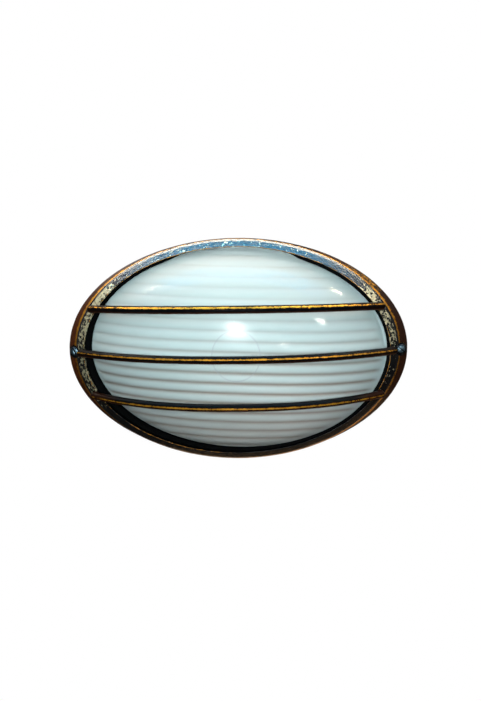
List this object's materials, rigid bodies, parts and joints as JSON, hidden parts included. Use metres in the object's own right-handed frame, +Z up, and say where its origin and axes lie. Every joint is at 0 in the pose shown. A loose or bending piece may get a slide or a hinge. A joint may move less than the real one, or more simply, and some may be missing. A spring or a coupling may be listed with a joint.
{
  "type": "oval caged wall light",
  "caption": "Oval bulkhead wall light: cast back body, ribbed opal glass dome, bevelled cage ring with bowed guard bars, screw lampholder and lamp inside.",
  "frame": {"origin": "centre of the flat back face, on the wall plane", "axes": "+Z up as hung, +Y into the wall (outward normal of the back face), so the glass faces -Y; +X along the oval's long axis, to the right as seen from the front"},
  "size_m": [0.265, 0.0997, 0.1726],
  "materials": {
    "cast_body": "black antique patina on a die casting, hammered gloss",
    "cast_cage": "black antique patina with gold rubbed edges, hammered gloss",
    "opal_glass": "frosted opal pressed glass, satin",
    "black_rubber": "moulded, matt",
    "zinc_steel": "zinc plated, blueish",
    "bright_aluminium": "bright rolled sheet",
    "plated_steel": "plated",
    "white_porcelain": "white glaze",
    "nickel_brass": "nickel plated brass",
    "brass": "bare brass",
    "lamp_glass": "pearl bulb with a metal screw cap",
    "white_nylon": "moulded",
    "brown_insulation": "heat-resistant sleeve",
    "blue_insulation": "heat-resistant sleeve"
  },
  "bodies": {
    "body": {"back_body": "cast_body", "reflector": "bright_aluminium", "reflector_screw_left": "plated_steel", "reflector_screw_right": "plated_steel", "lampholder_bracket": "zinc_steel", "bracket_screw_upper": "plated_steel", "bracket_screw_lower": "plated_steel", "lampholder_body": "white_porcelain", "holder_screw_front": "plated_steel", "holder_screw_rear": "plated_steel", "screw_shell": "nickel_brass", "centre_contact": "brass", "holder_terminal_live": "brass", "holder_terminal_neutral": "brass", "holder_terminal_screw_live": "plated_steel", "holder_terminal_screw_neutral": "plated_steel", "terminal_block": "white_nylon", "terminal_block_screw": "plated_steel", "terminal_insert_live": "brass", "terminal_insert_neutral": "brass", "terminal_screw_live_in": "plated_steel", "terminal_screw_live_out": "plated_steel", "terminal_screw_neutral_in": "plated_steel", "terminal_screw_neutral_out": "plated_steel", "earth_screw": "brass", "earth_washer": "brass", "live_lead": "brown_insulation", "neutral_lead": "blue_insulation", "cable_grommet": "black_rubber"},
    "cage": {"cage": "cast_cage", "glass_diffuser": "opal_glass", "glass_gasket": "black_rubber"},
    "left_screw": {"cage_screw_left": "zinc_steel"},
    "right_screw": {"cage_screw_right": "zinc_steel"},
    "lamp": {"lamp": "lamp_glass"}
  },
  "joints": [
    {"name": "cage_lift_off", "type": "slide", "parent": "body", "child": "cage", "axis": [0, -1, 0], "range_m": [0, 0.11]},
    {"name": "left_screw_turn", "type": "hinge", "parent": "cage", "child": "left_screw", "pos_m": [-0.127, -0.0495, 0], "axis": [0, -1, 0], "continuous": true},
    {"name": "right_screw_turn", "type": "hinge", "parent": "cage", "child": "right_screw", "pos_m": [0.127, -0.0495, 0], "axis": [0, -1, 0], "continuous": true},
    {"name": "lamp_out", "type": "slide", "parent": "body", "child": "lamp", "axis": [1, 0, 0], "range_m": [0, 0.026]}
  ]
}
